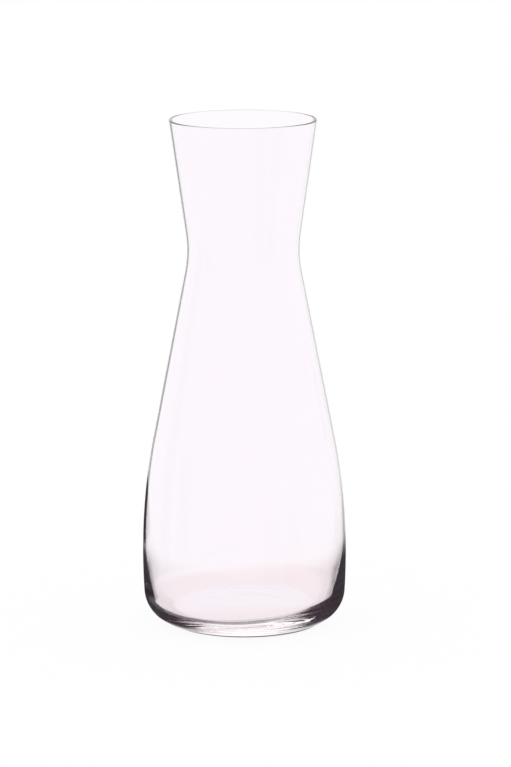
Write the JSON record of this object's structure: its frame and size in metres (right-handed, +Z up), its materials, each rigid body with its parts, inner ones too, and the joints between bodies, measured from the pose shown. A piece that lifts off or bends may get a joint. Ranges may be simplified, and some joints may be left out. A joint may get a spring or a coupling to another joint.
{
  "type": "decanter",
  "caption": "Open clear-glass table decanter blown in one piece, with a flared mouth, a narrow waist to hold it by, a low belly and a heavy rounded base.",
  "frame": {"origin": "on the axis of the vessel, at the level of the table it stands on", "axes": "+Z up along the axis of revolution, towards the mouth; X and Y are free because the vessel is round"},
  "size_m": [0.1024, 0.1024, 0.255],
  "materials": {
    "clear_glass": "clear, blown and fire-polished"
  },
  "bodies": {
    "root": {"glass_body": "clear_glass"}
  },
  "joints": []
}
